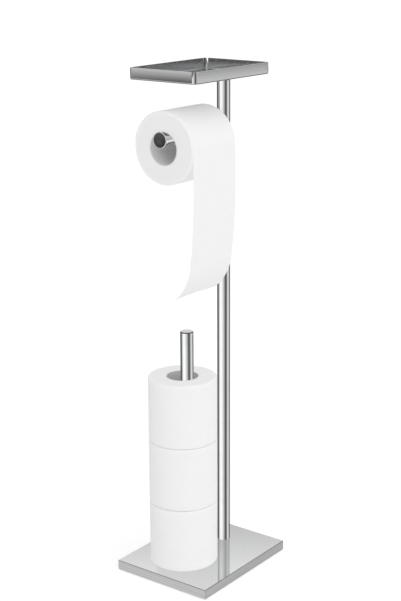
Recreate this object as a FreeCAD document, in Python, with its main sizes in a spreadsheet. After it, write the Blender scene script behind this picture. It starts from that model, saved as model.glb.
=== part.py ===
import FreeCAD, Part
import math
import os
from types import SimpleNamespace

import Sketcher

# A free-standing toilet roll storage holder: a weighted base carries a post with a tray on top
# and an arm for the roll in use, and in front of the post a rod that holds three spare rolls.
# Millimetres. +Z is up, the arm points along -Y and the origin is the middle of the underside.

SIZES = {
    # the base: a folded cover over a ballast plate on a soft pad
    "base_width": 170,
    "base_depth": 210,
    "base_height": 16,
    "base_sheet": 1.2,
    "base_edge_radius": 0.8,
    "skirt_lift": 1,
    "ballast_clearance": 0.4,
    "pad_thickness": 2,
    "pad_inset": 3,
    # the two screws that clamp the base to the post and to the rod
    "screw_radius": 4,
    "screw_head_radius": 6.5,
    "screw_head_height": 5,
    "screw_engagement": 16,
    "socket_flats": 5,
    "socket_depth": 2.5,
    "washer_radius": 8,
    "washer_thickness": 1.6,
    "recess_depth": 7.2,
    # fits that several pieces share
    "hole_clearance": 0.4,
    "thread_clearance": 0.05,
    "plug_clearance": 0.05,
    "tube_wall": 1.2,
    "plug_length": 25,
    "thread_runout": 2,
    "overrun": 5,
    # the post, its flange and the block that takes the arm's stud
    "post_radius": 10,
    "post_inset": 47,
    "block_length": 24,
    "flange_radius": 26,
    "flange_thickness": 3,
    "flange_spigot": 20,
    # the tray: a bent sheet on three welded studs
    "tray_underside": 762,
    "tray_width": 118,
    "tray_depth": 180,
    "tray_back_margin": 34,
    "tray_rim": 17,
    "tray_sheet": 1.2,
    "tray_corner_radius": 5.5,
    "tray_bend_radius": 2.2,
    "slot_depth": 8.5,
    "slot_mouth": 3.6,
    "slot_foot": 0.8,
    "slot_inset": 0.4,
    "slot_lead_radius": 1.8,
    "tray_stud_circle": 18,
    "tray_stud_radius": 2,
    "tray_stud_length": 9,
    "tray_nut_flats": 7,
    "tray_nut_height": 3.2,
    # the arm, its collar on the post and its end cap
    "arm_radius": 10,
    "arm_drop": 80,
    "arm_stud_radius": 3,
    "arm_stud_tail": 5,
    "arm_stud_grip": 18,
    "collar_radius": 12,
    "collar_reach": 18,
    "collar_seat": 0.05,
    "cap_radius": 11.7,
    "cap_thickness": 6,
    "cap_spigot": 12,
    "cap_edge_radius": 0.9,
    # the rod for the spare rolls
    "rod_radius": 10,
    "rod_spacing": 93,
    "rod_top": 389,
    "rod_cap_thickness": 5,
    "rod_cap_edge_radius": 2.6,
    # the rolls
    "roll_radius": 52.75,
    "roll_width": 100,
    "roll_edge_radius": 2.4,
    "core_bore_radius": 23.5,
    "core_wall": 1,
    "wind_clearance": 0.05,
    "roll_standoff": 43.4,
    "roll_end_play": 1.8,
    "roll_hang_clearance": 0.3,
    "stack_play": 4.5,
    "stack_gap": 0.2,
    # the loose sheet that hangs from the roll in use
    "sheet_thickness": 0.5,
    "sheet_clearance": 0.35,
    "sheet_straight": 57,
    "sheet_sway_radius": 860,
    "sheet_curl_radius": 80,
}
SHEET_WRAP_DEGREES = 170
SHEET_SWAY_DEGREES = 7.3
SHEET_CURL_DEGREES = 50
TRAY_STUD_DEGREES = (90, 210, 330)
HEXAGON_DEGREES = (30, 90, 150, 210, 270, 330)
SPARE_ROLLS = ("bottom", "middle", "top")
FULL_TURN = 360
QUARTER_TURN = 90
SAME = 1e-6


class Size:
    """A length of the sheet, or one worked out from such lengths: its formula and its value."""

    def __init__(self, formula, value):
        self.formula = formula
        self.value = value

    def __add__(self, other):
        return Size(f"({self.formula} + {other.formula})", self.value + other.value)

    def __sub__(self, other):
        return Size(f"({self.formula} - {other.formula})", self.value - other.value)

    def __mul__(self, share):
        return Size(f"({self.formula} * {share:.9f})", self.value * share)

    def __truediv__(self, count):
        return Size(f"({self.formula} / {count})", self.value / count)

    def __neg__(self):
        return Size(f"(-{self.formula})", -self.value)


ZERO = Size("0", 0)


def write_sheet():
    """The driving dimensions, one row each, and the same names for use below."""
    sheet = doc.addObject("Spreadsheet::Sheet", "Sizes")
    for row, (name, length) in enumerate(SIZES.items(), 1):
        sheet.set(f"A{row}", name)
        sheet.set(f"B{row}", str(length))
        sheet.setAlias(f"B{row}", name)
    doc.recompute()
    return SimpleNamespace(**{name: Size(f"Sizes.{name}", sheet.get(name)) for name in SIZES})


def bind(thing, **sizes):
    for name, size in sizes.items():
        thing.setExpression(name, size.formula)


def place(thing, x=ZERO, y=ZERO, z=ZERO, forward=False):
    """Puts a piece in place; a forward piece is drawn upright and laid along -Y."""
    tilt = QUARTER_TURN if forward else 0
    thing.Placement = FreeCAD.Placement(
        FreeCAD.Vector(x.value, y.value, z.value),
        FreeCAD.Rotation(FreeCAD.Vector(1, 0, 0), tilt),
    )
    for axis, size in zip("xyz", (x, y, z)):
        thing.setExpression(f"Placement.Base.{axis}", size.formula)
    return thing


def new_body(label):
    body = doc.addObject("PartDesign::Body", label)
    body.Label = label
    return body


def new_sketch(body, role):
    planes = [item for item in body.Origin.OriginFeatures if item.Role == role]
    sketch = body.newObject("Sketcher::SketchObject", "Sketch")
    sketch.AttachmentSupport = (planes[0], [""])
    sketch.MapMode = "FlatFace"
    return sketch


def fix_point(sketch, geometry, end, x, y):
    """Ties a point of a sketch to the sketch's origin by formulas."""
    for kind, axis, size in (("DistanceX", -2, x), ("DistanceY", -1, y)):
        if size is ZERO:
            sketch.addConstraint(Sketcher.Constraint("PointOnObject", geometry, end, axis))
            continue
        rule = Sketcher.Constraint(kind, -1, 1, geometry, end, size.value)
        number = sketch.addConstraint(rule)
        sketch.setExpression(f"Constraints[{number}]", size.formula)


def draw_outline(sketch, corners):
    """A closed outline of straight lines through corners given as formulas."""
    first = sketch.GeometryCount
    spots = [FreeCAD.Vector(x.value, y.value, 0) for x, y in corners]
    for start, finish in zip(spots, spots[1:] + spots[:1]):
        sketch.addGeometry(Part.LineSegment(start, finish))
    for number, (x, y) in enumerate(corners):
        following = first + (number + 1) % len(corners)
        sketch.addConstraint(Sketcher.Constraint("Coincident", first + number, 2, following, 1))
        fix_point(sketch, first + number, 1, x, y)


def draw_rectangle(sketch, half_width, half_depth):
    corners = [
        (-half_width, -half_depth),
        (half_width, -half_depth),
        (half_width, half_depth),
        (-half_width, half_depth),
    ]
    draw_outline(sketch, corners)


def draw_rounded_rectangle(sketch, half_width, half_depth, radius):
    """Four corner arcs joined by tangent lines."""
    x = half_width - radius
    y = half_depth - radius
    corners = ((x, y), (-x, y), (-x, -y), (x, -y))
    arcs = []
    for quarter, (centre_x, centre_y) in enumerate(corners):
        centre = FreeCAD.Vector(centre_x.value, centre_y.value, 0)
        circle = Part.Circle(centre, FreeCAD.Vector(0, 0, 1), radius.value)
        start = math.radians(quarter * QUARTER_TURN)
        finish = math.radians((quarter + 1) * QUARTER_TURN)
        arcs.append(sketch.addGeometry(Part.ArcOfCircle(circle, start, finish)))
        fix_point(sketch, arcs[-1], 3, centre_x, centre_y)
        fix_radius(sketch, arcs[-1], radius)
    for before, after in zip(arcs, arcs[1:] + arcs[:1]):
        start = sketch.getPoint(before, 2)
        finish = sketch.getPoint(after, 1)
        line = sketch.addGeometry(Part.LineSegment(start, finish))
        sketch.addConstraint(Sketcher.Constraint("Tangent", before, 2, line, 1))
        sketch.addConstraint(Sketcher.Constraint("Tangent", line, 2, after, 1))


def fix_radius(sketch, geometry, radius):
    rule = sketch.addConstraint(Sketcher.Constraint("Radius", geometry, radius.value))
    sketch.setExpression(f"Constraints[{rule}]", radius.formula)


def draw_circle(sketch, radius, x=ZERO, y=ZERO):
    centre = FreeCAD.Vector(x.value, y.value, 0)
    circle = Part.Circle(centre, FreeCAD.Vector(0, 0, 1), radius.value)
    number = sketch.addGeometry(circle)
    fix_point(sketch, number, 3, x, y)
    fix_radius(sketch, number, radius)


def draw_hexagon(sketch, flats):
    corner = flats / math.sqrt(3)
    draw_outline(sketch, [polar(corner, degrees) for degrees in HEXAGON_DEGREES])


def polar(radius, degrees):
    angle = math.radians(degrees)
    return radius * math.cos(angle), radius * math.sin(angle)


def pad(body, sketch, length):
    feature = body.newObject("PartDesign::Pad", "Pad")
    feature.Profile = sketch
    bind(feature, Length=length)
    doc.recompute()


def pocket(body, sketch, length, along_normal=False, both_ways=False):
    """A cut to a depth on the chosen side of its sketch, which has to take material away."""
    before = body.Shape.Volume
    feature = body.newObject("PartDesign::Pocket", "Pocket")
    feature.Profile = sketch
    feature.Reversed = along_normal
    feature.Midplane = both_ways
    bind(feature, Length=length)
    doc.recompute()
    if body.Shape.Volume > before - SAME:
        raise RuntimeError(f"{body.Label}: a pocket cuts nothing")


def round_edges(body, radius, chosen):
    """A fillet on those edges of the body that the test picks out."""
    base = body.Tip
    names = [f"Edge{number}" for number, edge in enumerate(base.Shape.Edges, 1) if chosen(edge)]
    feature = body.newObject("PartDesign::Fillet", "Rounding")
    feature.Base = (base, names)
    bind(feature, Radius=radius)
    doc.recompute()


def near(first, second):
    return abs(first - second) < SAME


def flat_at(edge, height):
    """Whether an edge lies wholly at one height."""
    box = edge.BoundBox
    return near(box.ZMin, height.value) and near(box.ZMax, height.value)


def is_circle(edge, radius):
    return isinstance(edge.Curve, Part.Circle) and near(edge.Curve.Radius, radius.value)


def turned(label, corners):
    """A piece turned about its own Z axis from a half section in (radius, height)."""
    body = new_body(label)
    sketch = new_sketch(body, "XZ_Plane")
    draw_outline(sketch, corners)
    feature = body.newObject("PartDesign::Revolution", "Turning")
    feature.Profile = sketch
    feature.ReferenceAxis = (sketch, ["V_Axis"])
    feature.Angle = FULL_TURN
    doc.recompute()
    return body


def tube(label, radius, length):
    """A length of the holder's tube stock, standing on its own origin."""
    body = new_body(label)
    sketch = new_sketch(body, "XY_Plane")
    draw_circle(sketch, radius)
    draw_circle(sketch, radius - s.tube_wall)
    pad(body, sketch, length)
    return body


def ring(label, bore, radius, low, high):
    return turned(label, [(bore, low), (radius, low), (radius, high), (bore, high)])


def cylinder(label, radius, length):
    piece = doc.addObject("Part::Cylinder", label)
    piece.Label = label
    bind(piece, Radius=radius, Height=length)
    return piece


def cut(label, base, tool):
    piece = doc.addObject("Part::Cut", label)
    piece.Label = label
    piece.Base = base
    piece.Tool = tool
    return piece


def group(label, members):
    """Like pieces that share one node as separate solids."""
    piece = doc.addObject("Part::Compound", label)
    piece.Label = label
    piece.Links = members
    return piece


doc = FreeCAD.newDocument("toilet_roll_storage_holder")
s = write_sheet()

# Places that several pieces share
POST_Y = s.base_depth / 2 - s.post_inset
ROD_Y = POST_Y - s.rod_spacing
SEATS = (POST_Y, ROD_Y)
POST_TOP = s.tray_underside - s.flange_thickness
ARM_Z = s.tray_underside - s.arm_drop
TRAY_Y = POST_Y + s.tray_back_margin - s.tray_depth / 2
SCREW_SEAT = s.pad_thickness + s.recess_depth
HEAD_TOP = SCREW_SEAT - s.washer_thickness
SCREW_HOLE = s.screw_radius + s.hole_clearance
ACCESS_HOLE = s.washer_radius + s.hole_clearance
ARM_STUD_HOLE = s.arm_stud_radius + s.hole_clearance
ARM_STUD_THREAD = s.arm_stud_radius + s.thread_clearance
ARM_END = s.roll_standoff + s.roll_width + s.roll_end_play
ROLL_AXIS = ARM_Z + s.arm_radius + s.roll_hang_clearance - s.core_bore_radius
STACK_X = -(s.core_bore_radius - s.rod_radius - s.stack_play)


def plug_radius(tube_radius):
    return tube_radius - s.tube_wall - s.plug_clearance


def base_cover():
    """The folded cover: a sharp-edged pan, open below, with a hole over each screw."""
    body = new_body("base_cover")
    height = s.base_height - s.skirt_lift
    outside = new_sketch(body, "XY_Plane")
    draw_rectangle(outside, s.base_width / 2, s.base_depth / 2)
    pad(body, outside, height)
    round_edges(body, s.base_edge_radius, lambda edge: not flat_at(edge, ZERO))
    inside = new_sketch(body, "XY_Plane")
    draw_rectangle(inside, s.base_width / 2 - s.base_sheet, s.base_depth / 2 - s.base_sheet)
    pocket(body, inside, height - s.base_sheet, along_normal=True)
    holes = new_sketch(body, "XY_Plane")
    for y in SEATS:
        draw_circle(holes, SCREW_HOLE, ZERO, y)
    pocket(body, holes, height + s.overrun, along_normal=True)
    return place(body, z=s.skirt_lift)


def ballast_plate():
    """The heavy plate that fills the cover, recessed below for the screw heads."""
    body = new_body("ballast_plate")
    thickness = s.base_height - s.base_sheet - s.pad_thickness
    margin = s.base_sheet + s.ballast_clearance
    outside = new_sketch(body, "XY_Plane")
    draw_rectangle(outside, s.base_width / 2 - margin, s.base_depth / 2 - margin)
    pad(body, outside, thickness)
    for radius, depth in ((ACCESS_HOLE, s.recess_depth), (SCREW_HOLE, thickness + s.overrun)):
        holes = new_sketch(body, "XY_Plane")
        for y in SEATS:
            draw_circle(holes, radius, ZERO, y)
        pocket(body, holes, depth, along_normal=True)
    return place(body, z=s.pad_thickness)


def base_pad():
    """The soft pad that the holder stands on, open under each screw."""
    body = new_body("base_pad")
    margin = s.base_sheet + s.pad_inset
    outside = new_sketch(body, "XY_Plane")
    draw_rectangle(outside, s.base_width / 2 - margin, s.base_depth / 2 - margin)
    for y in SEATS:
        draw_circle(outside, ACCESS_HOLE, ZERO, y)
    pad(body, outside, s.pad_thickness)
    return body


def base_screw(label, y):
    """A low-head socket screw, driven up from below."""
    low = HEAD_TOP - s.screw_head_height
    tip = s.base_height + s.screw_engagement
    section = [
        (ZERO, low),
        (s.screw_head_radius, low),
        (s.screw_head_radius, HEAD_TOP),
        (s.screw_radius, HEAD_TOP),
        (s.screw_radius, tip),
        (ZERO, tip),
    ]
    body = turned(label, section)
    socket = new_sketch(body, "XY_Plane")
    draw_hexagon(socket, s.socket_flats)
    pocket(body, socket, low + s.socket_depth, along_normal=True)
    return place(body, y=y)


def base_washer(label, y):
    return place(ring(label, SCREW_HOLE, s.washer_radius, HEAD_TOP, SCREW_SEAT), y=y)


def foot_plug(label, tube_radius, y):
    """The threaded plug in the foot of a tube, which takes the base screw."""
    thread = s.screw_radius + s.thread_clearance
    radius = plug_radius(tube_radius)
    low = s.base_height
    high = low + s.plug_length
    thread_end = low + s.screw_engagement + s.thread_runout
    section = [
        (thread, low),
        (radius, low),
        (radius, high),
        (ZERO, high),
        (ZERO, thread_end),
        (thread, thread_end),
    ]
    return place(turned(label, section), y=y)


def post_tube():
    """The post, with one hole in front for the arm's stud."""
    body = tube("post_tube", s.post_radius, POST_TOP - s.base_height)
    hole = new_sketch(body, "XZ_Plane")
    draw_circle(hole, ARM_STUD_HOLE, ZERO, ARM_Z - s.base_height)
    pocket(body, hole, s.post_radius + s.overrun, along_normal=True)
    return place(body, y=POST_Y, z=s.base_height)


def post_block():
    """The block inside the post that the arm's stud screws into."""
    radius = plug_radius(s.post_radius)
    low = -s.block_length / 2
    high = s.block_length / 2
    body = turned("post_block", [(ZERO, low), (radius, low), (radius, high), (ZERO, high)])
    hole = new_sketch(body, "XZ_Plane")
    draw_circle(hole, ARM_STUD_THREAD)
    pocket(body, hole, s.post_radius * 2 + s.overrun, both_ways=True)
    return place(body, y=POST_Y, z=ARM_Z)


def post_flange():
    """The flange in the top of the post, which carries the tray on three studs."""
    spigot = plug_radius(s.post_radius)
    low = POST_TOP - s.flange_spigot
    section = [
        (ZERO, low),
        (spigot, low),
        (spigot, POST_TOP),
        (s.flange_radius, POST_TOP),
        (s.flange_radius, s.tray_underside),
        (ZERO, s.tray_underside),
    ]
    body = turned("post_flange", section)
    holes = new_sketch(body, "XY_Plane")
    for degrees in TRAY_STUD_DEGREES:
        draw_circle(holes, s.tray_stud_radius + s.hole_clearance, *polar(s.tray_stud_circle, degrees))
    pocket(body, holes, s.tray_underside + s.overrun, along_normal=True)
    return place(body, y=POST_Y)


def cut_slot(body, plane, half, outward):
    """A wedge through one rim of the tray, beside the corner that the next rim wraps round."""
    start = half - s.tray_corner_radius - s.slot_inset
    foot = s.tray_rim - s.slot_depth
    top = s.tray_rim + s.overrun
    corners = [
        (start, foot),
        (start + s.slot_foot, foot),
        (start + s.slot_mouth, s.tray_rim),
        (start + s.slot_mouth, top),
        (start, top),
    ]
    slot = new_sketch(body, plane)
    draw_outline(slot, [(x * outward, z) for x, z in corners])
    pocket(body, slot, s.tray_depth + s.overrun, along_normal=outward > 0)


def tray():
    """The tray: one bent sheet, slit at each corner, where one rim wraps round to the next."""
    body = new_body("tray")
    half_width = s.tray_width / 2
    half_depth = s.tray_depth / 2
    outside = new_sketch(body, "XY_Plane")
    draw_rounded_rectangle(outside, half_width, half_depth, s.tray_corner_radius)
    pad(body, outside, s.tray_rim)
    round_edges(body, s.tray_bend_radius, lambda edge: flat_at(edge, ZERO))

    inside = new_sketch(body, "XY_Plane")
    inside.setExpression("AttachmentOffset.Base.z", s.tray_rim.formula)
    draw_rounded_rectangle(
        inside,
        half_width - s.tray_sheet,
        half_depth - s.tray_sheet,
        s.tray_corner_radius - s.tray_sheet,
    )
    pocket(body, inside, s.tray_rim - s.tray_sheet)
    round_edges(body, s.tray_bend_radius - s.tray_sheet, lambda edge: flat_at(edge, s.tray_sheet))

    for outward in (1, -1):
        cut_slot(body, "XZ_Plane", half_width, outward)
        cut_slot(body, "YZ_Plane", half_depth, outward)
    round_edges(
        body,
        s.slot_lead_radius,
        lambda edge: flat_at(edge, s.tray_rim) and near(edge.Length, s.tray_sheet.value),
    )
    return place(body, y=TRAY_Y, z=s.tray_underside)


def tray_stud(label, degrees):
    x, y = polar(s.tray_stud_circle, degrees)
    stud = cylinder(label, s.tray_stud_radius, s.tray_stud_length)
    return place(stud, x, POST_Y + y, s.tray_underside - s.tray_stud_length)


def tray_nut(label, degrees):
    x, y = polar(s.tray_stud_circle, degrees)
    body = new_body(label)
    outside = new_sketch(body, "XY_Plane")
    draw_hexagon(outside, s.tray_nut_flats)
    draw_circle(outside, s.tray_stud_radius + s.thread_clearance)
    pad(body, outside, s.tray_nut_height)
    return place(body, x, POST_Y + y, POST_TOP - s.tray_nut_height)


def place_on_arm(thing, start=ZERO):
    """Lays a piece along the arm's axis, from a distance in front of the post's axis."""
    return place(thing, y=POST_Y - start, z=ARM_Z, forward=True)


def arm_collar():
    """The collar that seats the arm on the round of the post."""
    blank = place_on_arm(cylinder("collar_blank", s.collar_radius, s.collar_reach))
    seat = cylinder("collar_seat_tool", s.post_radius + s.collar_seat, s.collar_radius * 4)
    place(seat, y=POST_Y, z=ARM_Z - s.collar_radius * 2)
    bore = place_on_arm(cylinder("collar_bore_tool", ARM_STUD_HOLE, s.collar_reach + s.overrun))
    return cut("arm_collar", cut("collar_seated", blank, seat), bore)


def arm_tube():
    return place_on_arm(tube("arm_tube", s.arm_radius, ARM_END - s.collar_reach), s.collar_reach)


def arm_root_plug():
    radius = plug_radius(s.arm_radius)
    plug = ring("arm_root_plug", ARM_STUD_THREAD, radius, ZERO, s.plug_length)
    return place_on_arm(plug, s.collar_reach)


def arm_stud():
    """The stud that draws the arm and its collar against the post."""
    length = s.arm_stud_tail + s.collar_reach + s.arm_stud_grip
    return place_on_arm(cylinder("arm_stud", s.arm_stud_radius, length), -s.arm_stud_tail)


def arm_end_cap():
    """The flat cap that closes the arm and keeps the roll on it."""
    spigot = plug_radius(s.arm_radius)
    section = [
        (ZERO, -s.cap_spigot),
        (spigot, -s.cap_spigot),
        (spigot, ZERO),
        (s.cap_radius, ZERO),
        (s.cap_radius, s.cap_thickness),
        (ZERO, s.cap_thickness),
    ]
    body = turned("arm_end_cap", section)
    round_edges(body, s.cap_edge_radius, lambda edge: is_circle(edge, s.cap_radius))
    return place_on_arm(body, ARM_END)


def rod_tube():
    length = s.rod_top - s.rod_cap_thickness - s.base_height
    return place(tube("rod_tube", s.rod_radius, length), y=ROD_Y, z=s.base_height)


def rod_top_cap():
    """The rounded cap that guides a spare roll onto the rod."""
    spigot = plug_radius(s.rod_radius)
    low = s.rod_top - s.rod_cap_thickness
    section = [
        (ZERO, low - s.cap_spigot),
        (spigot, low - s.cap_spigot),
        (spigot, low),
        (s.rod_radius, low),
        (s.rod_radius, s.rod_top),
        (ZERO, s.rod_top),
    ]
    body = turned("rod_top_cap", section)
    round_edges(
        body,
        s.rod_cap_edge_radius,
        lambda edge: is_circle(edge, s.rod_radius) and flat_at(edge, s.rod_top),
    )
    return place(body, y=ROD_Y)


def roll_pieces(name):
    """A roll standing on its own origin: the core and the paper wound on it."""
    core_radius = s.core_bore_radius + s.core_wall
    core = ring(f"{name}_core", s.core_bore_radius, core_radius, ZERO, s.roll_width)
    bore = core_radius + s.wind_clearance
    paper = ring(f"{name}_paper", bore, s.roll_radius, ZERO, s.roll_width)
    round_edges(paper, s.roll_edge_radius, lambda edge: is_circle(edge, s.roll_radius))
    return core, paper


def hanging_roll():
    """The roll in use: its core hangs on the arm, so its axis lies below the arm's."""
    start = POST_Y - s.roll_standoff
    return [place(piece, y=start, z=ROLL_AXIS, forward=True) for piece in roll_pieces("hanging_roll")]


def spare_roll(level, name):
    """One of the stacked spares, pushed over to one side of the rod."""
    height = s.base_height + s.stack_gap + (s.roll_width + s.stack_gap) * level
    return [place(piece, STACK_X, ROD_Y, height) for piece in roll_pieces(f"spare_roll_{name}")]


def on_circle(centre, radius, degrees):
    angle = math.radians(degrees)
    return centre + FreeCAD.Vector(radius * math.cos(angle), 0, radius * math.sin(angle))


def arc(centre, radius, start, finish):
    """An arc in an upright plane across the roll, between two angles above +X."""
    spots = [on_circle(centre, radius, angle) for angle in (start, (start + finish) / 2, finish)]
    return Part.Arc(*spots).toShape()


def sheet_side(offset):
    """One side of the loose sheet: round the roll, straight down, a slow sway and a curl."""
    down = FreeCAD.Vector(0, 0, -s.sheet_straight.value)
    roll = FreeCAD.Vector(0, 0, 0)
    reach = s.roll_radius.value + s.sheet_clearance.value
    sway = roll + down + FreeCAD.Vector(reach - s.sheet_sway_radius.value, 0, 0)
    change = s.sheet_sway_radius.value - s.sheet_curl_radius.value
    curl = on_circle(sway, change, -SHEET_SWAY_DEGREES)
    wrap = arc(roll, reach + offset, SHEET_WRAP_DEGREES, 0)
    start = on_circle(roll, reach + offset, 0)
    drop = Part.makeLine(start, start + down)
    slow = arc(sway, s.sheet_sway_radius.value + offset, 0, -SHEET_SWAY_DEGREES)
    tight = arc(curl, s.sheet_curl_radius.value + offset, -SHEET_SWAY_DEGREES, -SHEET_CURL_DEGREES)
    return [wrap, drop, slow, tight]


def hanging_sheet():
    """The loose end of the roll in use, which comes over the top and hangs down its side."""
    inside = sheet_side(0)
    outside = sheet_side(s.sheet_thickness.value)
    ends = [
        Part.makeLine(inside[number].Vertexes[end].Point, outside[number].Vertexes[end].Point)
        for number, end in ((0, 0), (-1, 1))
    ]
    outline = Part.Wire(Part.__sortEdges__(inside + outside + ends))
    piece = doc.addObject("Part::Feature", "hanging_sheet")
    piece.Label = "hanging_sheet"
    piece.Shape = Part.Face(outline).extrude(FreeCAD.Vector(0, -s.roll_width.value, 0))
    return place(piece, y=POST_Y - s.roll_standoff, z=ROLL_AXIS)


nodes = [
    base_cover(),
    ballast_plate(),
    base_pad(),
    group("base_screws", [base_screw("post_screw", POST_Y), base_screw("rod_screw", ROD_Y)]),
    group("base_washers", [base_washer("post_washer", POST_Y), base_washer("rod_washer", ROD_Y)]),
    post_tube(),
    foot_plug("post_foot_plug", s.post_radius, POST_Y),
    post_block(),
    post_flange(),
    tray(),
    group("tray_studs", [tray_stud(f"tray_stud_{angle}", angle) for angle in TRAY_STUD_DEGREES]),
    group("tray_nuts", [tray_nut(f"tray_nut_{angle}", angle) for angle in TRAY_STUD_DEGREES]),
    arm_collar(),
    arm_tube(),
    arm_root_plug(),
    arm_stud(),
    arm_end_cap(),
    rod_tube(),
    foot_plug("rod_foot_plug", s.rod_radius, ROD_Y),
    rod_top_cap(),
    *hanging_roll(),
    hanging_sheet(),
]
for level, name in enumerate(SPARE_ROLLS):
    nodes.extend(spare_roll(level, name))
doc.recompute()

for item in doc.Objects:
    if "Invalid" in item.State or "Error" in item.State:
        raise RuntimeError(f"{item.Label} failed: {item.State}")
for node in nodes:
    if node.Shape.isNull() or not node.Shape.isValid():
        raise RuntimeError(f"{node.Label} has no valid shape")

os.makedirs("parts", exist_ok=True)
for node in nodes:
    node.Shape.exportStep(f"parts/{node.Label}.step")
    print(node.Label, len(node.Shape.Solids), round(node.Shape.Volume, 1))
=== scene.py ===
import math
import random

import bmesh
import bpy
from mathutils import Matrix, Vector


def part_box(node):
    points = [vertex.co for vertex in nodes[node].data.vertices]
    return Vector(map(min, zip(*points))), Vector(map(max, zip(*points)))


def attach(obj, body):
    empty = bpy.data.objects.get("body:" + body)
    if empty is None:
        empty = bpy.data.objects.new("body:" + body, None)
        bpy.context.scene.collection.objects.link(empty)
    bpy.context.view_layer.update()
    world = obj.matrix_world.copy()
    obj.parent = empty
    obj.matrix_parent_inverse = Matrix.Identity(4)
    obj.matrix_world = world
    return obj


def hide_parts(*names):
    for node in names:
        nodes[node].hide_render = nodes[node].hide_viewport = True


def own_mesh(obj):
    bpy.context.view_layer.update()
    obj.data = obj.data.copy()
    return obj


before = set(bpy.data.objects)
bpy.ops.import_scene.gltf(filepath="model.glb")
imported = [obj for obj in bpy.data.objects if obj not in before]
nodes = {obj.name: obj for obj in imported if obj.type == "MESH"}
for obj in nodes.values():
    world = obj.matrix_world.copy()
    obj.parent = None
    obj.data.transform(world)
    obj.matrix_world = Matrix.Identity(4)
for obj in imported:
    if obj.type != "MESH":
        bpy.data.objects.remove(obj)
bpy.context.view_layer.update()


# Camera, with its place in metres and its lens in millimetres

CAMERA_PLACE = Vector((1.182015, -1.554292, 0.976292))
CAMERA_YAW = math.radians(53.787)
CAMERA_PITCH = math.radians(15.979)
CAMERA_LENS = 80.71
CAMERA_SENSOR = 36
CAMERA_SHIFT = (-0.0397, 0.0114)

# Wound rolls, in metres

ROLL_EDGE_RADIUS = 0.0024
ROLL_SPIRAL_STEP = 0.0003
ROLL_COLUMNS = 144
ROLL_SIDE_ROWS = 18
ROLL_END_ROWS = 22
ROLL_EDGE_ROWS = 5
ROLL_END_INSET = 0.00008
ROLL_FOOT_LAYERS = (0.00004, 0.00022)
ROLL_TOP_LAYERS = (0.00004, 0.00030)
ROLL_SLACK = 0.00018
ROLL_SLACK_WAVES = 3
ROLL_SLACK_STRAY = 0.3
ROLL_LEAN_ORDERS = (2, 3, 5)
ROLL_LEAN_SIZES = (0.00003, 0.00009)

# Each roll's seed and the angle of its loose edge in degrees

SPARE_ROLLS = {"bottom": (11, 118), "middle": (23, 152), "top": (37, 96)}
HANGING_ROLL = (5, 150)

# Loose sheet, in metres

SHEET_THICKNESS = 0.0003
SHEET_GAP = 0.0004
SHEET_WRAP = math.radians(170)
SHEET_TUCK = math.radians(28)
SHEET_TUCK_SHARE = 0.9
SHEET_STRAIGHT = 0.057
SHEET_SWAY_RADIUS = 0.860
SHEET_SWAY = math.radians(7.3)
SHEET_CURL_RADIUS = 0.080
SHEET_CURL = math.radians(42.7)
SHEET_COLUMNS = 100
SHEET_STEP = 0.0025
SHEET_TOOTH = 0.0004
SHEET_LEAVE = 0.022
SHEET_WAVE = 0.0005
SHEET_WAVE_GROWTH = 1.5
LONG_WAVE_COUNT = 1.15
LONG_WAVE_START = 0.6
LONG_WAVE_DRIFT = 1.2
SHORT_WAVE_COUNT = 2.3
SHORT_WAVE_START = 2.5
SHORT_WAVE_SHARE = 0.5


# Node helpers

MIX_SOCKETS = {"FLOAT": (2, 3, 0), "VECTOR": (4, 5, 1), "RGBA": (6, 7, 2)}


def feed(tree, socket, value):
    """Link a socket to the one given, or set its own value."""
    if isinstance(value, bpy.types.NodeSocket):
        tree.links.new(value, socket)
    else:
        socket.default_value = value


def feed_named(tree, node, **values):
    for name, value in values.items():
        feed(tree, node.inputs[name.replace("_", " ")], value)


def add_node(tree, kind, settings=None, **values):
    node = tree.nodes.new(kind)
    for name, value in (settings or {}).items():
        setattr(node, name, value)
    feed_named(tree, node, **values)
    return node


def operate(tree, kind, operation, first, second=None):
    """A math node of either kind, with one or two inputs."""
    node = add_node(tree, kind, {"operation": operation})
    feed(tree, node.inputs[0], first)
    if second is not None:
        feed(tree, node.inputs[1], second)
    return node


def do_math(tree, operation, first, second=None, clamp=False):
    node = operate(tree, "ShaderNodeMath", operation, first, second)
    node.use_clamp = clamp
    return node.outputs[0]


def scale_vector(tree, vector, factors):
    return operate(tree, "ShaderNodeVectorMath", "MULTIPLY", vector, factors).outputs[0]


def map_value(tree, value, low, high, new_low, new_high, smooth=False):
    node = add_node(tree, "ShaderNodeMapRange",
                    {"interpolation_type": "SMOOTHSTEP" if smooth else "LINEAR"},
                    Value=value, From_Min=low, From_Max=high, To_Min=new_low, To_Max=new_high)
    return node.outputs["Result"]


def mask_between(tree, value, rise, fall):
    """Mask that comes in over one stretch of a value and goes out over another."""
    rising = map_value(tree, value, *rise, 0, 1, smooth=True)
    falling = map_value(tree, value, *fall, 1, 0, smooth=True)
    return do_math(tree, "MULTIPLY", rising, falling)


def blend(tree, kind, factor, first, second):
    """A mix node, whose inputs and result have places of their own for each kind of value."""
    first_place, second_place, result = MIX_SOCKETS[kind]
    node = add_node(tree, "ShaderNodeMix", {"data_type": kind}, Factor=factor)
    feed(tree, node.inputs[first_place], first)
    feed(tree, node.inputs[second_place], second)
    return node.outputs[result]


def whole_colour(colour):
    """The colour with its alpha, or the socket that gives it."""
    return colour if isinstance(colour, bpy.types.NodeSocket) else (*colour, 1)


def blend_colours(tree, factor, first, second):
    return blend(tree, "RGBA", factor, whole_colour(first), whole_colour(second))


def grey(level):
    return (level, level, level)


def own_place(tree):
    return add_node(tree, "ShaderNodeTexCoord").outputs["Object"]


def laid_place(tree):
    return add_node(tree, "ShaderNodeUVMap").outputs[0]


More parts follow.
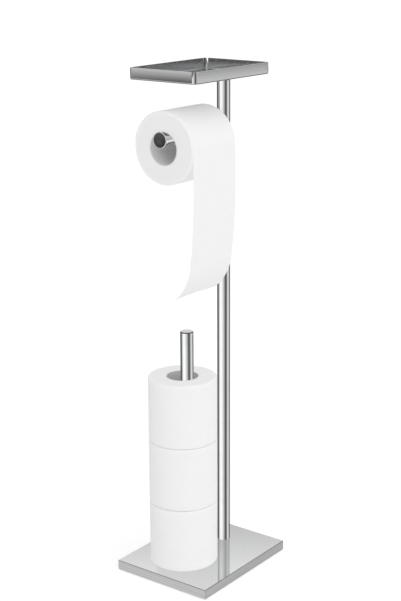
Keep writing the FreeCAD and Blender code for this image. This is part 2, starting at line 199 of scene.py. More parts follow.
def facing_along(tree, axis):
    """How far the surface faces along an axis, from -1 to 1."""
    normal = add_node(tree, "ShaderNodeNewGeometry").outputs["Normal"]
    return add_node(tree, "ShaderNodeSeparateXYZ", Vector=normal).outputs[axis]


def add_noise(tree, place, **values):
    return add_node(tree, "ShaderNodeTexNoise", Vector=place, **values).outputs[0]


def add_cells(tree, place, scale):
    return add_node(tree, "ShaderNodeTexVoronoi", Vector=place, Scale=scale).outputs["Distance"]


def start_group(name, inputs, outputs):
    group = bpy.data.node_groups.new(name, "ShaderNodeTree")
    for label, default in inputs:
        socket = group.interface.new_socket(name=label, in_out="INPUT", socket_type="NodeSocketFloat")
        socket.default_value = default
    for label in outputs:
        group.interface.new_socket(name=label, in_out="OUTPUT", socket_type="NodeSocketFloat")
    given = group.nodes.new("NodeGroupInput").outputs
    return group, given, group.nodes.new("NodeGroupOutput")


def place_group(tree, group, **values):
    return add_node(tree, "ShaderNodeGroup", {"node_tree": group}, **values).outputs


def start_material(name):
    material = bpy.data.materials.new(name)
    material.use_nodes = True
    tree = material.node_tree
    return material, tree, tree.nodes["Principled BSDF"]


def join_bump(tree, shader, height, strength, distance):
    bump = add_node(tree, "ShaderNodeBump", Height=height, Strength=strength, Distance=distance)
    feed_named(tree, shader, Normal=bump.outputs["Normal"])


# Effects that several finishes share

def make_brush_lines():
    turned_face = 0.6
    line_spread = 2.2
    group, given, put_out = start_group(
        "Brush lines", [("Along", 5), ("Across", 420), ("Contrast", 1)], ["Lines", "Height"])
    along = given["Along"]
    across = given["Across"]
    sideways = do_math(group, "ABSOLUTE", facing_along(group, "X"))
    turned = do_math(group, "GREATER_THAN", sideways, turned_face)
    lengthwise = add_node(group, "ShaderNodeCombineXYZ", X=along, Y=across, Z=across).outputs[0]
    crosswise = add_node(group, "ShaderNodeCombineXYZ", X=across, Y=along, Z=across).outputs[0]
    factors = blend(group, "VECTOR", turned, lengthwise, crosswise)
    stretched = scale_vector(group, own_place(group), factors)
    coarse = add_noise(group, stretched, Scale=1, Detail=4, Roughness=0.62)
    centred = do_math(group, "SUBTRACT", coarse, 0.5)
    contrast = do_math(group, "MULTIPLY", given["Contrast"], line_spread)
    widened = do_math(group, "MULTIPLY", centred, contrast)
    lines = do_math(group, "ADD", widened, 0.5, clamp=True)
    feed_named(group, put_out, Lines=lines, Height=coarse)
    return group


def make_handling_marks():
    scratch_stretch = (140, 90, 60)
    scratch_width = 0.012
    group, given, put_out = start_group(
        "Handling marks", [("Size", 26), ("Amount", 0.5)], ["Haze", "Scratches"])
    place = own_place(group)
    amount = given["Amount"]
    cloud = add_noise(group, place, Scale=given["Size"], Detail=5, Roughness=0.55, Distortion=0.4)
    patches = map_value(group, cloud, 0.42, 0.72, 0, 1, smooth=True)
    haze = do_math(group, "MULTIPLY", patches, amount)
    bent = add_noise(group, scale_vector(group, place, scratch_stretch), Scale=1, Detail=2,
                     Roughness=0.4, Distortion=1.2)
    thin = do_math(group, "ABSOLUTE", do_math(group, "SUBTRACT", bent, 0.5))
    scratch = map_value(group, thin, 0.0, scratch_width, 1, 0, smooth=True)
    sparse = do_math(group, "MULTIPLY", scratch, patches)
    feed_named(group, put_out, Haze=haze, Scratches=do_math(group, "MULTIPLY", sparse, amount))
    return group


def make_settled_dust():
    group, given, put_out = start_group("Settled dust", [("Amount", 0.3), ("Size", 60)], ["Dust"])
    upward = map_value(group, facing_along(group, "Z"), 0.75, 1.0, 0, 1, smooth=True)
    drift = add_noise(group, own_place(group), Scale=given["Size"], Detail=6, Roughness=0.7)
    patches = map_value(group, drift, 0.45, 0.8, 0, 1, smooth=True)
    lying = do_math(group, "MULTIPLY", upward, patches)
    feed_named(group, put_out, Dust=do_math(group, "MULTIPLY", lying, given["Amount"]))
    return group


def make_tissue_fibre():
    cloud_share = 0.7
    fibre_share = 0.3
    grain_height = 0.5
    group, given, put_out = start_group(
        "Tissue fibre", [("Fibre", 1500), ("Emboss", 0.0042), ("Relief", 0.5)], ["Tone", "Height"])
    place = own_place(group)
    fibre = add_noise(group, place, Scale=given["Fibre"], Detail=3, Roughness=0.6, Distortion=0.8)
    cloud = add_noise(group, place, Scale=45, Detail=4, Roughness=0.6)
    spread = operate(group, "ShaderNodeVectorMath", "DIVIDE", laid_place(group), given["Emboss"])
    dots = add_node(group, "ShaderNodeTexVoronoi", {"voronoi_dimensions": "2D"},
                    Vector=spread.outputs[0], Scale=1, Randomness=0.12)
    pressed = map_value(group, dots.outputs["Distance"], 0.12, 0.3, 0, 1, smooth=True)
    raised = do_math(group, "MULTIPLY", pressed, given["Relief"])
    grain = do_math(group, "MULTIPLY", fibre, grain_height)
    clouded = do_math(group, "MULTIPLY", cloud, cloud_share)
    tone = do_math(group, "ADD", clouded, do_math(group, "MULTIPLY", fibre, fibre_share))
    feed_named(group, put_out, Tone=tone, Height=do_math(group, "ADD", raised, grain))
    return group


def make_perforation():
    cut_share = 0.72
    cut_width = (0.0002, 0.0006)
    group, given, put_out = start_group(
        "Perforation", [("Sheet", 0.115), ("Stitch", 0.0042), ("Start", 0.0)], ["Cuts"])
    laid = add_node(group, "ShaderNodeSeparateXYZ", Vector=laid_place(group)).outputs
    along = do_math(group, "SUBTRACT", laid["X"], given["Start"])
    turn = do_math(group, "PINGPONG", along, do_math(group, "MULTIPLY", given["Sheet"], 0.5))
    line = map_value(group, turn, *cut_width, 1, 0, smooth=True)
    stitch = do_math(group, "FRACT", do_math(group, "DIVIDE", laid["Y"], given["Stitch"]))
    dash = do_math(group, "LESS_THAN", stitch, cut_share)
    feed_named(group, put_out, Cuts=do_math(group, "MULTIPLY", line, dash))
    return group


brush_lines = make_brush_lines()
handling_marks = make_handling_marks()
settled_dust = make_settled_dust()
tissue_fibre = make_tissue_fibre()
perforation = make_perforation()


# Finishes

DUST_COLOUR = (0.62, 0.61, 0.59)
FLOOR_DUST_COLOUR = (0.3, 0.29, 0.28)
SPECK_COLOUR = (0.60, 0.58, 0.55)
BEND_SHADE_COLOUR = (0.16, 0.162, 0.164)
CAP_RIM_SHADE_COLOUR = (0.16, 0.162, 0.165)
TRAY_CROWN = 2.0
TRAY_GRAIN = 0.000006
LAYER_SWAY = 0.0006


def lay_dust(tree, shader, dust, metal, rough):
    """Metal under thin dust, which dulls its colour, its polish and its metal look."""
    feed_named(tree, shader, Base_Color=blend_colours(tree, dust, metal, DUST_COLOUR),
               Roughness=do_math(tree, "ADD", rough, dust, clamp=True),
               Metallic=map_value(tree, dust, 0, 1, 1, 0))


def make_base_steel():
    material, tree, shader = start_material("brushed_base_steel")
    brushed = place_group(tree, brush_lines, Along=4, Across=620, Contrast=0.8)
    haze = place_group(tree, handling_marks, Size=15, Amount=0.5)["Haze"]
    dust = place_group(tree, settled_dust, Amount=0.03, Size=70)["Dust"]
    upward = facing_along(tree, "Z")
    rim = map_value(tree, upward, 0.5, 0.95, 1, 0, smooth=True)
    # Painted shade: the bend between the top and the sides is coloured dark, standing in for the dark it
    # would reflect
    bent = mask_between(tree, upward, (0.04, 0.25), (0.90, 0.985))
    brushed_rim = blend_colours(tree, brushed["Lines"], (0.55, 0.553, 0.556), (0.80, 0.803, 0.806))
    polished_top = blend_colours(tree, brushed["Lines"], (0.80, 0.803, 0.806), (0.83, 0.833, 0.836))
    faces = blend_colours(tree, rim, polished_top, brushed_rim)
    metal = blend_colours(tree, bent, faces, BEND_SHADE_COLOUR)
    rim_rough = map_value(tree, brushed["Lines"], 0, 1, 0.46, 0.30)
    top_rough = map_value(tree, haze, 0, 1, 0.03, 0.07)
    lay_dust(tree, shader, dust, metal, blend(tree, "FLOAT", rim, top_rough, rim_rough))
    rim_grain = do_math(tree, "MULTIPLY", brushed["Height"], rim)
    join_bump(tree, shader, rim_grain, strength=0.12, distance=0.0004)
    return material


def make_tray_steel():
    """Brushed steel whose faces are crowned a little up and down by their bump."""
    material, tree, shader = start_material("brushed_tray_steel")
    brushed = place_group(tree, brush_lines, Along=4, Across=520, Contrast=0.7)
    haze = place_group(tree, handling_marks, Size=22, Amount=0.4)["Haze"]
    dust = place_group(tree, settled_dust, Amount=0.03, Size=70)["Dust"]
    metal = blend_colours(tree, brushed["Lines"], (0.57, 0.573, 0.577), (0.69, 0.693, 0.697))
    brushed_rough = map_value(tree, brushed["Lines"], 0, 1, 0.14, 0.09)
    rough = do_math(tree, "ADD", brushed_rough, do_math(tree, "MULTIPLY", haze, 0.06))
    lay_dust(tree, shader, dust, metal, rough)
    tray_low, tray_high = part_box("tray")
    middle = (tray_low.z + tray_high.z) / 2
    height = add_node(tree, "ShaderNodeSeparateXYZ", Vector=own_place(tree)).outputs["Z"]
    away = do_math(tree, "SUBTRACT", height, middle)
    crown = do_math(tree, "MULTIPLY", do_math(tree, "MULTIPLY", away, away), -TRAY_CROWN)
    grain = do_math(tree, "MULTIPLY", brushed["Height"], TRAY_GRAIN)
    join_bump(tree, shader, do_math(tree, "ADD", crown, grain), strength=1, distance=1)
    return material


def make_chrome(name, rim_shade_line):
    """Polished chrome, which may carry a dark line of painted shade on the turned rim of an upright cap."""
    material, tree, shader = start_material(name)
    marks = place_group(tree, handling_marks, Size=34, Amount=0.5)
    tone = blend_colours(tree, marks["Haze"], (0.88, 0.885, 0.89), (0.80, 0.81, 0.82))
    if rim_shade_line:
        # Painted shade: a dark line coloured onto the cap's turned rim
        rim = mask_between(tree, facing_along(tree, "Z"), (0.10, 0.30), (0.70, 0.90))
        tone = blend_colours(tree, rim, tone, CAP_RIM_SHADE_COLOUR)
    hazy = map_value(tree, marks["Haze"], 0, 1, 0.035, 0.13)
    rough = do_math(tree, "ADD", hazy, do_math(tree, "MULTIPLY", marks["Scratches"], 0.15))
    feed_named(tree, shader, Base_Color=tone, Roughness=rough, Metallic=1)
    join_bump(tree, shader, marks["Scratches"], strength=0.05, distance=0.0001)
    return material


def make_zinc():
    material, tree, shader = start_material("zinc_plate")
    haze = place_group(tree, handling_marks, Size=60, Amount=0.9)["Haze"]
    grain = add_cells(tree, own_place(tree), 420)
    feed_named(tree, shader, Metallic=1,
               Base_Color=blend_colours(tree, grain, (0.56, 0.58, 0.61), (0.74, 0.74, 0.70)),
               Roughness=map_value(tree, haze, 0, 1, 0.26, 0.48))
    join_bump(tree, shader, grain, strength=0.12, distance=0.0002)
    return material


def make_ballast_iron():
    material, tree, shader = start_material("ballast_iron")
    scale = add_noise(tree, own_place(tree), Scale=240, Detail=6, Roughness=0.7)
    feed_named(tree, shader, Metallic=0.6,
               Base_Color=blend_colours(tree, scale, (0.045, 0.046, 0.05), (0.16, 0.15, 0.14)),
               Roughness=map_value(tree, scale, 0.3, 0.7, 0.45, 0.75))
    join_bump(tree, shader, scale, strength=0.3, distance=0.0006)
    return material


def make_pad_rubber():
    material, tree, shader = start_material("pad_rubber")
    dust = place_group(tree, settled_dust, Amount=0.2, Size=90)["Dust"]
    place = own_place(tree)
    pores = add_cells(tree, place, 900)
    cloud = add_noise(tree, place, Scale=60, Detail=4)
    rubber = blend_colours(tree, cloud, (0.018, 0.018, 0.02), (0.05, 0.05, 0.052))
    feed_named(tree, shader, Base_Color=blend_colours(tree, dust, rubber, FLOOR_DUST_COLOUR),
               Roughness=map_value(tree, cloud, 0.3, 0.7, 0.7, 0.9))
    join_bump(tree, shader, pores, strength=0.25, distance=0.0004)
    return material


def make_core_board(name, dark, light):
    fibre_stretch = (420, 420, 160)
    material, tree, shader = start_material(name)
    place = own_place(tree)
    fibre = add_noise(tree, scale_vector(tree, place, fibre_stretch), Scale=1, Detail=4, Roughness=0.6)
    specks = add_cells(tree, place, 520)
    pulp = blend_colours(tree, fibre, dark, light)
    spotted = map_value(tree, specks, 0.04, 0.12, 0.6, 0, smooth=True)
    feed_named(tree, shader, Specular_IOR_Level=0.2,
               Base_Color=blend_colours(tree, spotted, pulp, SPECK_COLOUR),
               Roughness=map_value(tree, fibre, 0.3, 0.7, 0.82, 0.95))
    join_bump(tree, shader, fibre, strength=0.3, distance=0.0003)
    return material


def make_tissue(name, relief, sheet_start):
    cut_depth = 0.15
    material, tree, shader = start_material(name)
    fibre = place_group(tree, tissue_fibre, Fibre=1500, Emboss=0.0042, Relief=0.5)
    cuts = place_group(tree, perforation, Sheet=0.115, Stitch=0.0042, Start=sheet_start)["Cuts"]
    feed_named(tree, shader, Specular_IOR_Level=0.12,
               Base_Color=blend_colours(tree, fibre["Tone"], grey(0.905), grey(0.945)),
               Roughness=map_value(tree, fibre["Tone"], 0.3, 0.7, 0.9, 1.0))
    height = do_math(tree, "SUBTRACT", fibre["Height"], do_math(tree, "MULTIPLY", cuts, cut_depth))
    join_bump(tree, shader, height, strength=relief, distance=0.0005)
    return material


def make_tissue_ends():
    material, tree, shader = start_material("wound_tissue_ends")
    tone = place_group(tree, tissue_fibre, Fibre=1800, Emboss=0.0042, Relief=0)["Tone"]
    place = own_place(tree)
    flat = scale_vector(tree, place, (1, 1, 0))
    reach = operate(tree, "ShaderNodeVectorMath", "LENGTH", flat).outputs["Value"]
    sway = do_math(tree, "MULTIPLY", add_noise(tree, place, Scale=60, Detail=3), LAYER_SWAY)
    wandering = do_math(tree, "ADD", reach, sway)
    layers = add_node(tree, "ShaderNodeTexNoise", {"noise_dimensions": "1D"},
                      W=wandering, Scale=1600, Detail=2, Roughness=0.7).outputs[0]
    feed_named(tree, shader, Specular_IOR_Level=0.1,
               Base_Color=blend_colours(tree, layers, grey(0.86), grey(0.94)),
               Roughness=map_value(tree, tone, 0.3, 0.7, 0.92, 1.0))
    join_bump(tree, shader, layers, strength=0.3, distance=0.0006)
    return material


base_steel = make_base_steel()
tray_steel = make_tray_steel()
chrome = make_chrome("polished_chrome", rim_shade_line=False)
rim_shaded_cap_chrome = make_chrome("polished_cap_chrome", rim_shade_line=True)
zinc = make_zinc()
ballast_iron = make_ballast_iron()
pad_rubber = make_pad_rubber()
core_board = make_core_board("core_board", dark=(0.72, 0.72, 0.718), light=(0.79, 0.79, 0.788))
# The spare cores take a darker copy of the same board: painted shade for the dimmer light inside their
# bores
shaded_spare_core_board = make_core_board("shaded_spare_core_board", dark=(0.60, 0.60, 0.598), light=(0.68, 0.68, 0.678))
wound_tissue = make_tissue("wound_tissue", relief=0.18, sheet_start=0.03)
wound_tissue_ends = make_tissue_ends()
loose_tissue = make_tissue("loose_tissue", relief=0.2, sheet_start=0.043)

FINISHES = {
    base_steel: ["base_cover"],
    tray_steel: ["tray"],
    chrome: ["post_tube", "arm_tube", "arm_collar", "arm_end_cap", "rod_tube"],
    rim_shaded_cap_chrome: ["rod_top_cap"],
    zinc: ["base_screws", "base_washers", "post_foot_plug", "post_block", "post_flange", "tray_studs",
           "tray_nuts", "arm_root_plug", "arm_stud", "rod_foot_plug"],
    ballast_iron: ["ballast_plate"],
    pad_rubber: ["base_pad"],
    core_board: ["hanging_roll_core"],
    shaded_spare_core_board: [f"spare_roll_{which}_core" for which in SPARE_ROLLS],
}
for finish, names in FINISHES.items():
    for node_name in names:
        slots = nodes[node_name].data.materials
        slots.clear()
        slots.append(finish)


# Pieces that replace solids

def start_shape():
    shape = bmesh.new()
    return shape, shape.loops.layers.uv.new("laid_flat")


def add_piece(name, shape, finishes):
    mesh = bpy.data.meshes.new(name)
    shape.to_mesh(mesh)
    shape.free()
    for finish in finishes:
        mesh.materials.append(finish)
    piece = bpy.data.objects.new(name, mesh)
    bpy.context.scene.collection.objects.link(piece)
    return piece


# Wound rolls

def roll_outline(radius, bore, width, chance):
    """Half the cross-section as (radius, height, is_end) points, from the bore's foot round to its top."""
    step = (radius - ROLL_EDGE_RADIUS - bore) / ROLL_END_ROWS
    points = []
    top = []
    for row in range(ROLL_END_ROWS + 1):
        reach = bore + step * row
        inner = 0 < row < ROLL_END_ROWS
        points.append((reach, chance.uniform(*ROLL_FOOT_LAYERS) if inner else ROLL_END_INSET, True))
        top.append((reach, width - (chance.uniform(*ROLL_TOP_LAYERS) if inner else ROLL_END_INSET), True))
    for row in range(1, ROLL_EDGE_ROWS + 1):
        turn = math.pi / 2 * row / ROLL_EDGE_ROWS
        points.append((radius - ROLL_EDGE_RADIUS * (1 - math.sin(turn)),
                       ROLL_EDGE_RADIUS * (1 - math.cos(turn)), False))
    for row in range(1, ROLL_SIDE_ROWS):
        share = row / ROLL_SIDE_ROWS
        stray = chance.uniform(-ROLL_SLACK_STRAY, ROLL_SLACK_STRAY)
        slack = ROLL_SLACK * math.sin(math.pi * share * ROLL_SLACK_WAVES + stray) ** 2
        points.append((radius - slack, ROLL_EDGE_RADIUS + (width - 2 * ROLL_EDGE_RADIUS) * share, False))
    for row in range(ROLL_EDGE_ROWS + 1):
        turn = math.pi / 2 * row / ROLL_EDGE_ROWS
        points.append((radius - ROLL_EDGE_RADIUS * (1 - math.cos(turn)),
                       width - ROLL_EDGE_RADIUS * (1 - math.sin(turn)), False))
    points.extend(reversed(top[:-1]))
    return points


def place_roll_rings(shape, outline, radius, bore, loose_edge, waves):
    """The outline's corners in rings round the axis, drawn in from the loose edge to the step under it."""
    rings = []
    for column in range(ROLL_COLUMNS + 1):
        share = column / ROLL_COLUMNS
        angle = loose_edge + 2 * math.pi * share
        lean = sum(size * (1 + math.sin(order * angle + phase)) for order, phase, size in waves)
        inward = ROLL_SPIRAL_STEP * (1 - share) + lean
        ring = []
        for reach, height, _ in outline:
            weight = (reach - bore) / (radius - bore)
            drawn = reach - weight * weight * inward
            ring.append(shape.verts.new((drawn * math.cos(angle), drawn * math.sin(angle), height)))
        rings.append(ring)
    return rings


def lay_roll_faces(shape, layout, rings, outline, radius):
    """Faces between the rings, laid flat along the turn and up the outline, with a finish for the ends."""
    lengths = [0.0]
    for (reach, height, _), (next_reach, next_height, _) in zip(outline, outline[1:]):
        lengths.append(lengths[-1] + math.hypot(next_reach - reach, next_height - height))
    rows = len(outline)
    for column in range(ROLL_COLUMNS + 1):
        here = rings[column]
        following = rings[(column + 1) % (ROLL_COLUMNS + 1)]
        left = radius * 2 * math.pi * column / ROLL_COLUMNS
        right = radius * 2 * math.pi * min(column + 1, ROLL_COLUMNS) / ROLL_COLUMNS
        for row in range(rows):
            above = (row + 1) % rows
            face = shape.faces.new((here[row], following[row], following[above], here[above]))
            face.smooth = True
            on_end = outline[row][2] and outline[above][2]
            face.material_index = 1 if on_end else 0
            low = lengths[row]
            high = lengths[above] if above else lengths[row]
            for loop, place in zip(face.loops, ((left, low), (right, low), (right, high), (left, high))):
                loop[layout].uv = place


def make_roll(name, radius, bore, width, seed, loose_edge):
    """A wound roll on its own axis, standing on its foot, whose last layer ends in a step."""
    chance = random.Random(seed)
    outline = roll_outline(radius, bore, width, chance)
    waves = [(order, chance.uniform(0, 2 * math.pi), chance.uniform(*ROLL_LEAN_SIZES))
             for order in ROLL_LEAN_ORDERS]
    shape, layout = start_shape()
    rings = place_roll_rings(shape, outline, radius, bore, loose_edge, waves)
    lay_roll_faces(shape, layout, rings, outline, radius)
    for ring in (rings[0], rings[-1]):
        for corner, following in zip(ring, ring[1:] + ring[:1]):
            shape.edges.get((corner, following)).smooth = False
    bmesh.ops.recalc_face_normals(shape, faces=shape.faces)
    return add_piece(name, shape, [wound_tissue, wound_tissue_ends])


def half_width(low, high):
    return (high.x - low.x) / 2


def add_spare_roll(which, seed, loose_edge):
    node_name = f"spare_roll_{which}_paper"
    low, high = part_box(node_name)
    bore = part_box(f"spare_roll_{which}_core")
    piece = make_roll(f"spare_roll_{which}_wound", half_width(low, high), half_width(*bore),
                      high.z - low.z, seed, loose_edge)
    piece.location = ((low.x + high.x) / 2, (low.y + high.y) / 2, low.z)
    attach(piece, f"{which}_spare_roll")
    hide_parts(node_name)


def add_hanging_roll(seed, loose_edge):
    low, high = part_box("hanging_roll_paper")
    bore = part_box("hanging_roll_core")
    piece = make_roll("hanging_roll_wound", half_width(low, high), half_width(*bore),
                      high.y - low.y, seed, loose_edge)
    lying = Matrix.Rotation(math.pi / 2, 4, "X")
    piece.matrix_world = Matrix.Translation(((low.x + high.x) / 2, high.y, (low.z + high.z) / 2)) @ lying
    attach(piece, "hanging_roll")
    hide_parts("hanging_roll_paper")


for which, (seed, edge_angle) in SPARE_ROLLS.items():
    add_spare_roll(which, seed, math.radians(edge_angle))
seed, edge_angle = HANGING_ROLL
add_hanging_roll(seed, math.radians(edge_angle))


# Loose sheet

roll_low, roll_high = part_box("hanging_roll_paper")
roll_axis = Vector(((roll_low.x + roll_high.x) / 2, 0, (roll_low.z + roll_high.z) / 2))
sheet_width = roll_high.y - roll_low.y
sheet_radius = half_width(roll_low, roll_high) + SHEET_GAP
wrap_length = sheet_radius * SHEET_WRAP
drop_length = SHEET_STRAIGHT + SHEET_SWAY_RADIUS * SHEET_SWAY + SHEET_CURL_RADIUS * SHEET_CURL


def wrap_place(along):
    """Point and outward direction on the run over the roll, from its tucked edge to the roll's side."""
    angle = SHEET_WRAP - along / sheet_radius
    outward = Vector((math.cos(angle), 0, math.sin(angle)))
    lifted = min(1, (SHEET_WRAP - angle) / SHEET_TUCK)
    return roll_axis + outward * (sheet_radius - SHEET_GAP * SHEET_TUCK_SHARE * (1 - lifted)), outward


def drop_place(along):
    """Point and outward direction on the run that hangs: straight, then a slow sway, then a curl."""
    place = roll_axis + Vector((sheet_radius, 0, 0))
    straight = min(along, SHEET_STRAIGHT)
    place = place - Vector((0, 0, straight))
    heading = 0.0
    for turn, radius in ((SHEET_SWAY, SHEET_SWAY_RADIUS), (SHEET_CURL, SHEET_CURL_RADIUS)):
        done = min(max(along - SHEET_STRAIGHT, 0), radius * turn)
        along = along - done
        turned = heading + done / radius
        place = place + Vector((radius * (math.cos(turned) - math.cos(heading)), 0,
                                radius * (math.sin(heading) - math.sin(turned))))
        heading = turned
    return place, Vector((math.cos(heading), 0, -math.sin(heading)))


def edge_inset(across):
    """How far the roll's rounded edge lies inside its full radius at a place across the width."""
    short = ROLL_EDGE_RADIUS - min(across, sheet_width - across)
    if short <= 0:
        return 0
    return ROLL_EDGE_RADIUS - math.sqrt(max(ROLL_EDGE_RADIUS ** 2 - short ** 2, 0))


def sheet_swell(wave, share, across):
    """How far the sheet waves outwards at a share of its length and a place across it."""
    turn = 2 * math.pi * across / sheet_width
    long_wave = math.sin(turn * LONG_WAVE_COUNT + LONG_WAVE_START + LONG_WAVE_DRIFT * share)
    short_wave = SHORT_WAVE_SHARE * math.sin(turn * SHORT_WAVE_COUNT + SHORT_WAVE_START) * share
    return wave * share ** SHEET_WAVE_GROWTH * (long_wave + short_wave)


def make_sheet_piece(name, length, placing, wave, tooth, hugging):
    """One run of the sheet as a fine grid across the roll's width. hugging is the length over which
    its borders leave the roll's rounded edges, and None where they follow them all the way."""
    rows = math.ceil(length / SHEET_STEP)
    shape, layout = start_shape()
    grid = []
    for row in range(rows + 1):
        share = row / rows
        held = 1 if hugging is None else max(0, 1 - length * share / hugging) ** 2
        line = []
        for column in range(SHEET_COLUMNS + 1):
            across = sheet_width * column / SHEET_COLUMNS
            along = length * share
            if row == rows and column % 2:
                along = along - tooth
            place, outward = placing(along)
            spot = place + outward * (sheet_swell(wave, share, across) - held * edge_inset(across))
            line.append((shape.verts.new((spot.x, roll_low.y + across, spot.z)), (along, across)))
        grid.append(line)
    for line, next_line in zip(grid, grid[1:]):
        for column in range(SHEET_COLUMNS):
            corners = (line[column], next_line[column], next_line[column + 1], line[column + 1])
            face = shape.faces.new([corner for corner, _ in corners])
            face.smooth = True
            for loop, (_, laid) in zip(face.loops, corners):
                loop[layout].uv = laid
    bmesh.ops.recalc_face_normals(shape, faces=shape.faces)
    for edge in shape.edges:
        edge.smooth = not edge.is_boundary
    piece = add_piece(name, shape, [loose_tissue])
    thick = piece.modifiers.new("ply", "SOLIDIFY")
    thick.thickness = SHEET_THICKNESS
    thick.offset = 0
    return piece


sheet_wrap = make_sheet_piece("sheet_over_roll", wrap_length, wrap_place,
                              wave=0, tooth=0, hugging=None)
sheet_drop = make_sheet_piece("sheet_hanging_down", drop_length, drop_place,
                              wave=SHEET_WAVE, tooth=SHEET_TOOTH, hugging=SHEET_LEAVE)
for sheet_piece in (sheet_wrap, sheet_drop):
    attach(sheet_piece, "stand")
    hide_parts("hanging_sheet")
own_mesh(sheet_drop)


# Floor

FLOOR_RADIUS = 1.6
FLOOR_SIDES = 96
FLOOR_GLOW = 0.18


def make_floor():
    material, tree, shader = start_material("pale_floor")
    cloud = add_noise(tree, own_place(tree), Scale=3, Detail=2)
    seen = add_node(tree, "ShaderNodeLightPath").outputs["Is Camera Ray"]
    feed_named(tree, shader, Roughness=1, Specular_IOR_Level=0, Emission_Strength=FLOOR_GLOW,
               Base_Color=blend_colours(tree, cloud, grey(0.93), grey(0.95)),
               Emission_Color=blend_colours(tree, seen, grey(0), grey(1)))
    shape = bmesh.new()
    bmesh.ops.create_circle(shape, cap_ends=True, segments=FLOOR_SIDES, radius=FLOOR_RADIUS)
    floor = add_piece("pale_floor", shape, [material])
    floor.visible_glossy = False


# Brightness of the studio walls, by degrees to the right of the camera's side

WALLS = [(-180, 0.38), (-155, 0.16), (-130, 0.09), (-110, 0.08), (-94, 0.36), (-78, 0.80), (-58, 1.15),
         (-38, 1.10), (-20, 0.92), (0, 0.62), (16, 0.34), (35, 0.07), (46, 0.11), (60, 0.32), (78, 0.82),
         (97, 0.68), (108, 0.42), (124, 0.18), (138, 0.10), (158, 0.14), (180, 0.38)]
WALL_RANGE = (0.1, 1.1)

# Haze, lamps, roof and ground of the studio. Their stretches run up it, or across it where so named.

FAR_WALL_ACROSS = (-0.60, -0.25)
NEAR_HAZE = (0.20, 0.32)
FAR_HAZE = (0.02, 0.07)
HAZE_STRETCH = (0.12, 0.34)
HAZE_LEVELS = (1.00, 0.64)
HAZE_END = (0.345, 0.395)
HAZE_END_LEVEL = 0.45
LAMPS = (0.39, 0.482)
FAR_LAMPS_ACROSS = (-0.80, -0.72)
FAR_LAMPS_LEVEL = 1.0
NEAR_LAMPS_LEVELS = (0.50, 0.98)
CARD_LEFT_ACROSS = (-0.0500, -0.0476)
CARD_RIGHT_ACROSS = (-0.0046, -0.0022)
CARD_LEVEL = 0.84
ROOF = (0.66, 0.84)
ROOF_LEVEL = 0.62
GROUND = (-0.75, -0.60)
GROUND_LEVELS = (0.30, 1.0)

# Panels low before the walls, as (middle, reach) in degrees, the stretch where the foot fades, and level

PANELS = [((-72, 7), (-0.240, -0.215), 0.03), ((107, 8), (-0.62, -0.55), 0.90)]
PANEL_TOP = (-0.155, -0.05)
PANEL_SOFTNESS = 0.012

# Soft light on what isn't polished, and levels for what the polish passes on and for the backdrop

SOFT_FORWARD = 0.30
SOFT_SIDEWAYS = 0.19
SOFT_UPWARD = 0.53
SOFT_LEVEL = 0.58
SOFT_FLOOR = (-0.03, 0.0)
SOFT_FLOOR_LEVEL = 1.0
PASSED_ON_LEVEL = 1.6
BACKDROP_LEVEL = 1.05


def share_of_turn(degrees):
    return degrees / 360 + 0.5


def add_walls(tree, turn):
    walls = add_node(tree, "ShaderNodeValToRGB", Fac=turn)
    walls.color_ramp.interpolation = "EASE"
    stops = walls.color_ramp.elements
    while len(stops) > 1:
        stops.remove(stops[-1])
    for count, (degrees, level) in enumerate(WALLS):
        spot = share_of_turn(degrees)
        stop = stops[0] if count == 0 else stops.new(spot)
        stop.position = spot
        stop.color = whole_colour(grey(level))
    return walls.outputs["Color"]


def add_panel(tree, behind, turn, lift, width, foot, level):
    """A plain panel before what is behind it, fading towards its top."""
    middle, reach = width
    low = share_of_turn(middle - reach)
    high = share_of_turn(middle + reach)
    falling = map_value(tree, lift, *PANEL_TOP, 1, 0)
    upright = do_math(tree, "MULTIPLY", falling, map_value(tree, lift, *foot, 0, 1, smooth=True))
    wide = mask_between(tree, turn, (low - PANEL_SOFTNESS, low + PANEL_SOFTNESS),
                        (high - PANEL_SOFTNESS, high + PANEL_SOFTNESS))
    return blend_colours(tree, do_math(tree, "MULTIPLY", upright, wide), behind, grey(level))


def add_haze(tree, walls, across, lift):
    """Haze over the walls, which begins lower on the wall behind the holder."""
    far_wall = map_value(tree, across["X"], *FAR_WALL_ACROSS, 1, 0, smooth=True)
    start, full = [map_value(tree, far_wall, 0, 1, near, far) for near, far in zip(NEAR_HAZE, FAR_HAZE)]
    over_walls = map_value(tree, lift, start, full, 0, 1, smooth=True)
    haze = map_value(tree, lift, *HAZE_STRETCH, *HAZE_LEVELS)
    thinning = map_value(tree, lift, *HAZE_END, 0, 1, smooth=True)
    hazed = blend_colours(tree, thinning, haze, grey(HAZE_END_LEVEL))
    return blend_colours(tree, over_walls, walls, hazed)


def add_lamps(tree, walls, across):
    """Lamps above: an even row behind the holder with one duller card, and others like their walls."""
    card = mask_between(tree, across["Y"], CARD_LEFT_ACROSS, CARD_RIGHT_ACROSS)
    far_lamps = blend_colours(tree, card, grey(FAR_LAMPS_LEVEL), grey(CARD_LEVEL))
    near_lamps = map_value(tree, walls, *WALL_RANGE, *NEAR_LAMPS_LEVELS)
    far_side = map_value(tree, across["X"], *FAR_LAMPS_ACROSS, 1, 0, smooth=True)
    return blend_colours(tree, far_side, near_lamps, far_lamps)


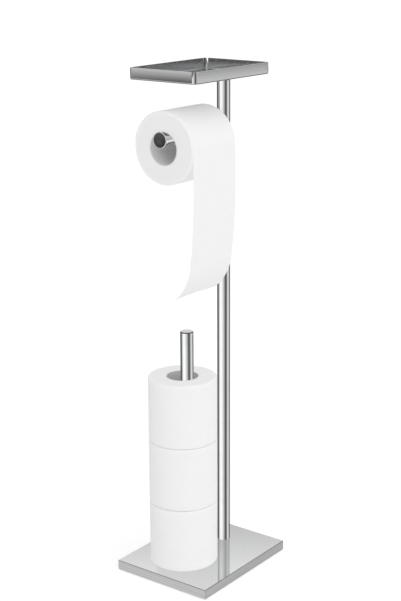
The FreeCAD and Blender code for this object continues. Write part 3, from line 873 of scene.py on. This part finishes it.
def add_mirrored_studio(tree, turn, across, lift):
    """What the polish shows of the studio, from its ground to its roof."""
    walls = add_walls(tree, turn)
    hazed = add_haze(tree, walls, across, lift)
    lamp_height = map_value(tree, lift, *LAMPS, 0, 1, smooth=True)
    lamped = blend_colours(tree, lamp_height, hazed, add_lamps(tree, walls, across))
    roof_height = map_value(tree, lift, *ROOF, 0, 1, smooth=True)
    roofed = blend_colours(tree, roof_height, lamped, grey(ROOF_LEVEL))
    ground_depth = map_value(tree, lift, *GROUND, 1, 0, smooth=True)
    paving = map_value(tree, walls, *WALL_RANGE, *GROUND_LEVELS)
    studio = blend_colours(tree, ground_depth, roofed, paving)
    for width, foot, level in PANELS:
        studio = add_panel(tree, studio, turn, lift, width, foot, level)
    return studio


def add_soft_light(tree, across, lift):
    """Even light that grows upwards, forwards and to one side, over a light floor."""
    forward = do_math(tree, "MULTIPLY", across["X"], SOFT_FORWARD)
    sideways = do_math(tree, "MULTIPLY", across["Y"], SOFT_SIDEWAYS)
    upward = do_math(tree, "MULTIPLY", lift, SOFT_UPWARD)
    level = do_math(tree, "ADD", do_math(tree, "ADD", forward, sideways),
                    do_math(tree, "ADD", upward, SOFT_LEVEL))
    below = map_value(tree, lift, *SOFT_FLOOR, 1, 0, smooth=True)
    return blend_colours(tree, below, level, grey(SOFT_FLOOR_LEVEL))


def make_studio_light():
    world = bpy.data.worlds.new("studio")
    bpy.context.scene.world = world
    world.use_nodes = True
    tree = world.node_tree
    tree.nodes.clear()
    way = add_node(tree, "ShaderNodeTexCoord").outputs["Generated"]
    turned = add_node(tree, "ShaderNodeVectorRotate", {"rotation_type": "Z_AXIS"}, Vector=way,
                      Angle=CAMERA_YAW).outputs[0]
    turn = add_node(tree, "ShaderNodeTexGradient", {"gradient_type": "RADIAL"},
                    Vector=turned).outputs["Fac"]
    across = add_node(tree, "ShaderNodeSeparateXYZ", Vector=turned).outputs
    lift = add_node(tree, "ShaderNodeSeparateXYZ", Vector=way).outputs["Z"]
    ray = add_node(tree, "ShaderNodeLightPath").outputs
    unscattered = do_math(tree, "LESS_THAN", ray["Diffuse Depth"], 0.5)
    mirrored = do_math(tree, "MULTIPLY", ray["Is Glossy Ray"], unscattered)
    passed_on = do_math(tree, "SUBTRACT", ray["Is Glossy Ray"], mirrored)
    filled = blend_colours(tree, passed_on, add_soft_light(tree, across, lift), grey(PASSED_ON_LEVEL))
    lit = blend_colours(tree, mirrored, filled, add_mirrored_studio(tree, turn, across, lift))
    shown = blend_colours(tree, ray["Is Camera Ray"], lit, grey(BACKDROP_LEVEL))
    background = add_node(tree, "ShaderNodeBackground", Color=shown, Strength=1.0)
    add_node(tree, "ShaderNodeOutputWorld", Surface=background.outputs[0])


def make_camera():
    level = math.cos(CAMERA_PITCH)
    back = Vector((math.cos(CAMERA_YAW) * level, -math.sin(CAMERA_YAW) * level, math.sin(CAMERA_PITCH)))
    data = bpy.data.cameras.new("photo_camera")
    data.sensor_width = CAMERA_SENSOR
    data.lens = CAMERA_LENS
    data.shift_x, data.shift_y = CAMERA_SHIFT
    camera = bpy.data.objects.new("photo_camera", data)
    camera.location = CAMERA_PLACE
    camera.rotation_mode = "QUATERNION"
    camera.rotation_quaternion = (-back).to_track_quat("-Z", "Y")
    bpy.context.scene.collection.objects.link(camera)
    bpy.context.scene.camera = camera


# Pieces kept out of the polish beside them, so that it shows the studio walls

UNMIRRORED = ["base_cover", "ballast_plate", "base_pad", "base_screws", "base_washers", "post_foot_plug",
              "rod_tube", "rod_top_cap", "rod_foot_plug", "hanging_roll_core", "hanging_roll_wound",
              "sheet_over_roll", "sheet_hanging_down"]
UNMIRRORED += [f"spare_roll_{which}_{part}" for which in SPARE_ROLLS for part in ("wound", "core")]

# Pieces kept out of the soft light that board and paper throw about, so that they shade nothing beside them

UNSCATTERED = ["arm_tube", "arm_end_cap", "rod_tube", "sheet_hanging_down"]

for unmirrored in UNMIRRORED:
    bpy.data.objects[unmirrored].visible_glossy = False
for unscattered in UNSCATTERED:
    bpy.data.objects[unscattered].visible_diffuse = False
make_floor()
make_studio_light()
make_camera()
bpy.context.scene.view_settings.view_transform = "Standard"
bpy.context.scene.view_settings.look = "None"

bpy.context.view_layer.update()
